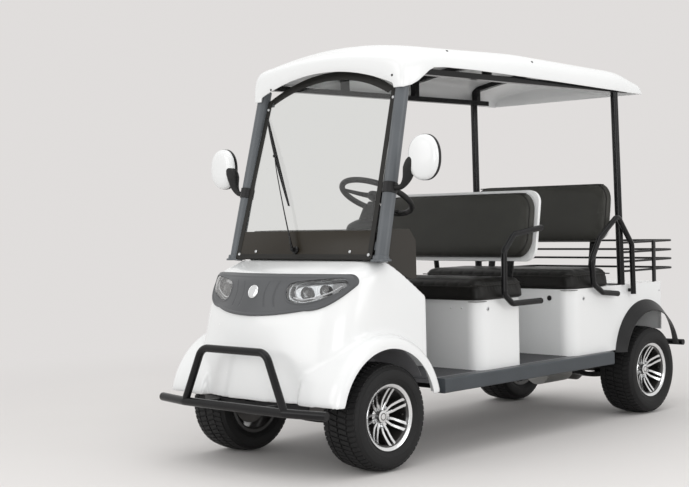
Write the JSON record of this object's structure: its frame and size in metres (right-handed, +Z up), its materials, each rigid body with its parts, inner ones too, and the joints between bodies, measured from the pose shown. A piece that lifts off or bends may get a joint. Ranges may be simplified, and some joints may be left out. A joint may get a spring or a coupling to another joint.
{
  "type": "electric minibus",
  "caption": "Open-sided electric people carrier with two forward-facing benches, a canopy roof, a rear cargo deck and steered front wheels.",
  "frame": {"origin": "on the ground, under the middle of the vehicle's box", "axes": "+Z up, the nose points along -Y, +X is the vehicle's left side"},
  "size_m": [1.438, 2.882, 1.8719],
  "materials": {
    "white_body": "gloss",
    "black_frame": "semi-gloss",
    "pillar_grey": "semi-gloss",
    "sill_slate": "satin",
    "floor_grey": "matt",
    "grille_grey": "satin",
    "lamp_clear": "clear",
    "trim_black": "matt",
    "liner_grey": "matt",
    "dash_black": "matt",
    "glass_clear": "clear",
    "seat_black": "satin",
    "axle_steel": "matt",
    "motor_grey": "matt",
    "battery": "matt",
    "tyre": "matt",
    "alloy": "machined"
  },
  "bodies": {
    "root": {"frame_rails": "black_frame", "frame_crossmembers": "black_frame", "side_sills": "sill_slate", "floor_panel": "floor_grey", "nose_shell": "white_body", "grille_panel": "grille_grey", "headlights": "lamp_clear", "lower_valance": "trim_black", "wheel_liners_front": "liner_grey", "toe_board": "trim_black", "dashboard": "dash_black", "windscreen": "glass_clear", "windscreen_pillars": "pillar_grey", "roof_panel": "white_body", "roof_frame": "black_frame", "rear_posts": "black_frame", "seat_box_front": "white_body", "rear_body": "white_body", "rear_flares": "trim_black", "cushion_front": "seat_black", "cushion_rear": "seat_black", "backrest_front": "seat_black", "backrest_rear": "seat_black", "backrest_shell_front": "white_body", "backrest_shell_rear": "white_body", "backrest_supports": "black_frame", "hand_rails_front": "black_frame", "hand_rails_rear": "black_frame", "cargo_rack": "black_frame", "front_bumper": "black_frame", "rear_bumper": "black_frame", "wiper": "trim_black", "mirrors": "trim_black", "front_axle": "axle_steel", "rear_axle": "axle_steel", "drive_motor": "motor_grey", "leaf_springs": "black_frame", "battery_block": "battery", "steering_column": "trim_black"},
    "knuckle_left": {"knuckle_left": "axle_steel"},
    "knuckle_right": {"knuckle_right": "axle_steel"},
    "tie_rod": {"tie_rod": "axle_steel"},
    "steering_wheel": {"steering_wheel": "trim_black"},
    "wheel_front_left": {"rim_front_left": "alloy", "tyre_front_left": "tyre"},
    "wheel_front_right": {"rim_front_right": "alloy", "tyre_front_right": "tyre"},
    "wheel_rear_left": {"rim_rear_left": "alloy", "tyre_rear_left": "tyre"},
    "wheel_rear_right": {"rim_rear_right": "alloy", "tyre_rear_right": "tyre"}
  },
  "joints": [
    {"name": "steer_left", "type": "hinge", "parent": "root", "child": "knuckle_left", "pos_m": [0.33, -0.995, 0.2295], "axis": [0, 0, 1], "range_deg": [-25, 25]},
    {"name": "steer_right", "type": "hinge", "parent": "root", "child": "knuckle_right", "pos_m": [-0.33, -0.995, 0.2295], "axis": [0, 0, 1], "range_deg": [-25, 25]},
    {"name": "steering_wheel_turn", "type": "hinge", "parent": "root", "child": "steering_wheel", "pos_m": [0.23, -0.743, 1.161], "axis": [0, 0.4695, 0.8829], "range_deg": [-500, 500]},
    {"name": "tie_rod_swing", "type": "hinge", "parent": "knuckle_left", "child": "tie_rod", "pos_m": [0.33, -0.899, 0.2445], "axis": [0, 0, 1], "range_deg": [-25, 25]},
    {"name": "roll_front_left", "type": "hinge", "parent": "knuckle_left", "child": "wheel_front_left", "pos_m": [0.42, -0.995, 0.2295], "axis": [1, 0, 0], "continuous": true},
    {"name": "roll_front_right", "type": "hinge", "parent": "knuckle_right", "child": "wheel_front_right", "pos_m": [-0.42, -0.995, 0.2295], "axis": [1, 0, 0], "continuous": true},
    {"name": "roll_rear_left", "type": "hinge", "parent": "root", "child": "wheel_rear_left", "pos_m": [0.426, 1.065, 0.2295], "axis": [1, 0, 0], "continuous": true},
    {"name": "roll_rear_right", "type": "hinge", "parent": "root", "child": "wheel_rear_right", "pos_m": [-0.426, 1.065, 0.2295], "axis": [1, 0, 0], "continuous": true}
  ],
  "couplings": [
    {"joint": "steer_right", "follows": "steer_left", "ratio": 1},
    {"joint": "steering_wheel_turn", "follows": "steer_left", "ratio": 20},
    {"joint": "tie_rod_swing", "follows": "steer_left", "ratio": -1}
  ]
}
